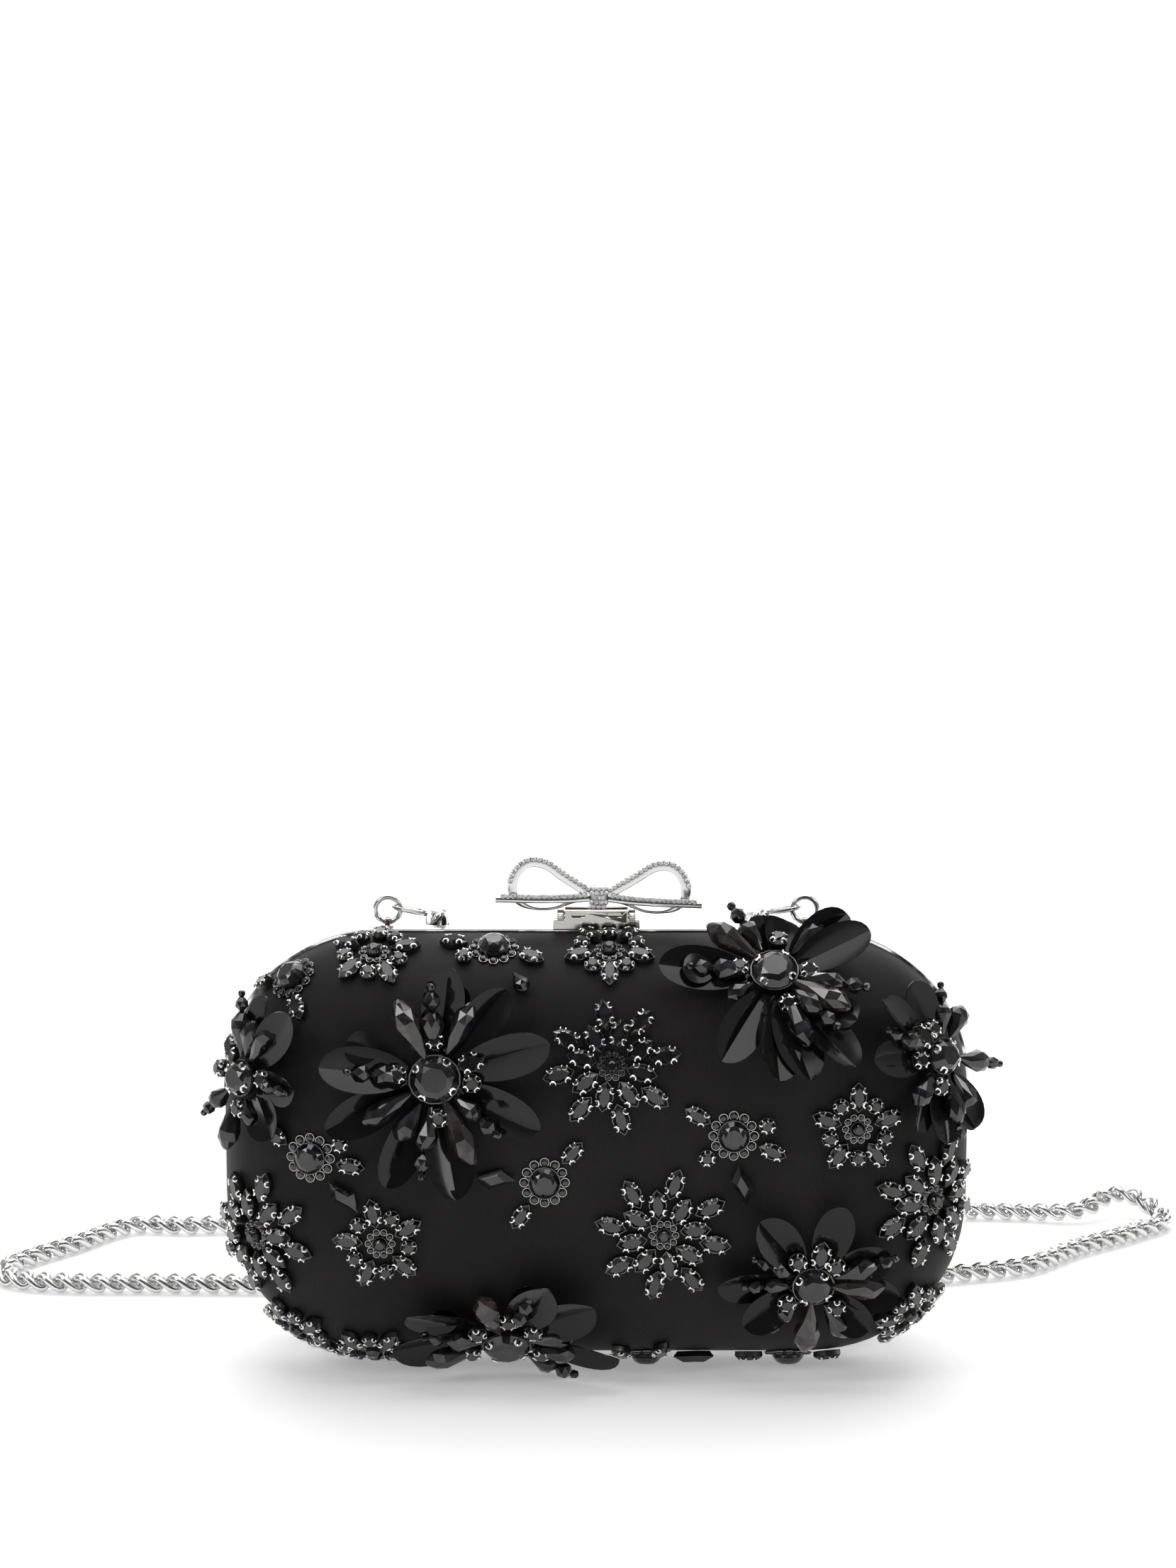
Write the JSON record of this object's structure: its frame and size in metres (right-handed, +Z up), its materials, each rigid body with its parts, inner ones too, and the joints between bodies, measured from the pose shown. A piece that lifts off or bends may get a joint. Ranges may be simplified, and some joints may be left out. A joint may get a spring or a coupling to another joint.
{
  "type": "evening clutch bag",
  "caption": "Hard-shell clutch of two hinged satin pillow halves in a metal rim, with bow clasp, chain strap and sewn jet-stone flowers.",
  "frame": {"origin": "on the resting plane under the middle of the closed bag, strap left out", "axes": "+Z up, front of the bag towards -Y, +X to the right seen from the front"},
  "size_m": [0.3231, 0.1631, 0.1219],
  "materials": {
    "black_satin": "soft satin",
    "lining_cloth": "matte suede cloth",
    "shell_board": "moulded board",
    "polished_metal": "polished silver-tone plating",
    "chain_metal": "bright silver-tone plating",
    "steel_wire": "drawn wire",
    "jet_stone": "faceted jet-black stones, beads and sequins with silver claws",
    "clear_crystal": "small faceted crystals"
  },
  "bodies": {
    "back_half": {"back_shell": "shell_board", "back_cover": "black_satin", "back_lining": "lining_cloth", "back_frame": "polished_metal", "hinge_knuckles_back": "polished_metal", "hinge_pin": "steel_wire", "clasp_base": "polished_metal", "clasp_pin": "steel_wire", "clasp_spring": "steel_wire", "ring_lug_left": "polished_metal", "ring_lug_right": "polished_metal", "strap_chain": "chain_metal", "back_flower": "jet_stone", "back_star_left": "jet_stone", "back_star_right": "jet_stone", "back_rosette": "jet_stone", "back_foot_left": "jet_stone", "back_foot_right": "jet_stone"},
    "front_half": {"front_shell": "shell_board", "front_cover": "black_satin", "front_lining": "lining_cloth", "front_frame": "polished_metal", "hinge_knuckles_front": "polished_metal", "clasp_catch": "polished_metal", "bead_flower_a": "jet_stone", "bead_flower_b": "jet_stone", "bead_flower_c": "jet_stone", "bead_flower_d": "jet_stone", "bead_flower_e": "jet_stone", "bead_flower_f": "jet_stone", "star_large_g": "jet_stone", "star_large_h": "jet_stone", "star_large_k": "jet_stone", "star_large_l": "jet_stone", "star_small_i": "jet_stone", "star_small_j": "jet_stone", "star_small_m": "jet_stone", "star_small_n": "jet_stone", "star_small_o": "jet_stone", "star_small_p": "jet_stone", "star_small_q": "jet_stone", "rosette_r": "jet_stone", "rosette_s": "jet_stone", "rosette_t": "jet_stone", "rosette_u": "jet_stone", "rosette_v": "jet_stone", "rosette_w": "jet_stone", "rosette_x": "jet_stone"},
    "clasp": {"clasp_cap": "polished_metal", "bow_ribbon": "polished_metal", "bow_knot": "polished_metal", "bow_crystals": "clear_crystal"},
    "ring_left": {"ring_left": "chain_metal", "chain_end_left": "chain_metal"},
    "ring_right": {"ring_right": "chain_metal", "chain_end_right": "chain_metal"}
  },
  "joints": [
    {"name": "bag_open", "type": "hinge", "parent": "back_half", "child": "front_half", "pos_m": [0, 0, 0.0023], "axis": [1, 0, 0], "range_deg": [0, 85]},
    {"name": "clasp_lift", "type": "hinge", "parent": "back_half", "child": "clasp", "pos_m": [0, 0.00465, 0.1078], "axis": [-1, 0, 0], "range_deg": [0, 60], "stiffness_Nm_per_rad": 0.02, "springref_deg": -17.19},
    {"name": "ring_left_swing", "type": "hinge", "parent": "back_half", "child": "ring_left", "pos_m": [-0.05, 0.00165, 0.10605], "axis": [1, 0, 0], "range_deg": [-8, 40]},
    {"name": "ring_right_swing", "type": "hinge", "parent": "back_half", "child": "ring_right", "pos_m": [0.05, 0.00165, 0.10605], "axis": [1, 0, 0], "range_deg": [-8, 40]}
  ]
}
